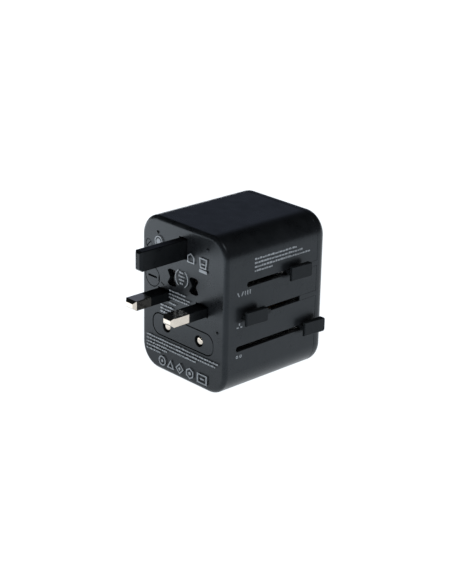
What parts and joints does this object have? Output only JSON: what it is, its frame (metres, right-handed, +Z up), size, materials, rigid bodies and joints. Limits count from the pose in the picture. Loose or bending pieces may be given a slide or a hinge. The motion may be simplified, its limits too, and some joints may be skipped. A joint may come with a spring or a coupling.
{
  "type": "universal travel adapter",
  "caption": "Block-shaped universal travel adapter with slide-out British, American/Australian and European plugs, side slider knobs, a multi-standard socket and charging ports.",
  "frame": {"origin": "centre of the flat bottom face", "axes": "+X to the slider side, as seen from the plug face; -Y the way the plug face looks; +Z up, towards the British earth pin"},
  "size_m": [0.0531, 0.0767, 0.0645],
  "materials": {
    "casing_plastic": "satin",
    "insert_plastic": "matte",
    "brass_strip": "satin",
    "frame_plastic": "matte",
    "fuse_ceramic": "matte",
    "screw_plastic": "satin",
    "board_laminate": "satin",
    "port_steel": "satin",
    "port_plastic": "matte",
    "ferrite": "matte",
    "winding_tape": "satin",
    "capacitor_sleeve": "gloss",
    "lens_plastic": "gloss",
    "pin_nickel": "satin",
    "sleeve_plastic": "satin",
    "knob_plastic": "matte",
    "spring_steel": "satin"
  },
  "bodies": {
    "casing": {"main_shell": "casing_plastic", "socket_cover": "casing_plastic", "socket_insert": "insert_plastic", "line_jaw": "brass_strip", "neutral_jaw": "brass_strip", "earth_jaw": "brass_strip", "line_rail": "brass_strip", "neutral_rail": "brass_strip", "earth_rail": "brass_strip", "fuse_holder": "frame_plastic", "fuse_tube": "fuse_ceramic", "fuse_front_contact": "brass_strip", "fuse_rear_contact": "brass_strip", "face_screw": "screw_plastic", "slide_frame": "frame_plastic", "eu_tunnel": "frame_plastic", "usb_board": "board_laminate", "usb_a_shells": "port_steel", "usb_a_tongues": "port_plastic", "usb_c_shell": "port_steel", "usb_c_tongue": "port_plastic", "transformer_core": "ferrite", "transformer_winding": "winding_tape", "filter_capacitors": "capacitor_sleeve", "status_led": "lens_plastic", "light_pipe": "lens_plastic"},
    "fuse_cap": {"fuse_cap": "casing_plastic"},
    "uk_slide": {"uk_carriage": "frame_plastic", "uk_line_pin": "pin_nickel", "uk_neutral_pin": "pin_nickel", "uk_line_sleeve": "sleeve_plastic", "uk_neutral_sleeve": "sleeve_plastic", "uk_earth_pin": "sleeve_plastic", "uk_knob_spring": "spring_steel"},
    "uk_knob": {"uk_knob": "knob_plastic"},
    "us_slide": {"us_carriage": "frame_plastic", "us_knob_spring": "spring_steel"},
    "us_knob": {"us_knob": "knob_plastic"},
    "us_left_blade": {"us_left_blade": "pin_nickel", "us_left_clip": "spring_steel"},
    "us_right_blade": {"us_right_blade": "pin_nickel", "us_right_clip": "spring_steel"},
    "eu_block": {"eu_block": "casing_plastic"},
    "eu_slide": {"eu_carriage": "frame_plastic", "eu_left_pin": "pin_nickel", "eu_right_pin": "pin_nickel", "eu_left_sleeve": "sleeve_plastic", "eu_right_sleeve": "sleeve_plastic", "eu_knob_spring": "spring_steel"},
    "eu_knob": {"eu_knob": "knob_plastic"}
  },
  "joints": [
    {"name": "fuse_cap_turn", "type": "hinge", "parent": "casing", "child": "fuse_cap", "pos_m": [-0.018, -0.027, 0.0389], "axis": [0, 1, 0], "range_deg": [0, 90]},
    {"name": "uk_pins_slide", "type": "slide", "parent": "casing", "child": "uk_slide", "axis": [0, 1, 0], "range_m": [0, 0.023]},
    {"name": "uk_knob_press", "type": "slide", "parent": "uk_slide", "child": "uk_knob", "axis": [-1, 0, 0], "range_m": [0, 0.001], "stiffness_N_per_m": 600, "springref_m": -0.0005, "deforming": ["uk_knob_spring"]},
    {"name": "us_blades_slide", "type": "slide", "parent": "casing", "child": "us_slide", "axis": [0, -1, 0], "range_m": [0, 0.0211]},
    {"name": "us_knob_press", "type": "slide", "parent": "us_slide", "child": "us_knob", "axis": [-1, 0, 0], "range_m": [0, 0.001], "stiffness_N_per_m": 600, "springref_m": -0.0005, "deforming": ["us_knob_spring"]},
    {"name": "us_left_turn", "type": "hinge", "parent": "us_slide", "child": "us_left_blade", "pos_m": [-0.00635, 0.004, 0.0415], "axis": [0, 1, 0], "range_deg": [-30, 30]},
    {"name": "us_right_turn", "type": "hinge", "parent": "us_slide", "child": "us_right_blade", "pos_m": [0.00635, 0.004, 0.0415], "axis": [0, 1, 0], "range_deg": [-30, 30]},
    {"name": "eu_block_slide", "type": "slide", "parent": "casing", "child": "eu_block", "axis": [0, -1, 0], "range_m": [0, 0.016]},
    {"name": "eu_pins_slide", "type": "slide", "parent": "eu_block", "child": "eu_slide", "axis": [0, -1, 0], "range_m": [0, 0.0187]},
    {"name": "eu_knob_press", "type": "slide", "parent": "eu_slide", "child": "eu_knob", "axis": [-1, 0, 0], "range_m": [0, 0.001], "stiffness_N_per_m": 600, "springref_m": -0.0005, "deforming": ["eu_knob_spring"]}
  ],
  "couplings": [
    {"joint": "eu_block_slide", "follows": "eu_pins_slide", "ratio": 0.85561}
  ]
}
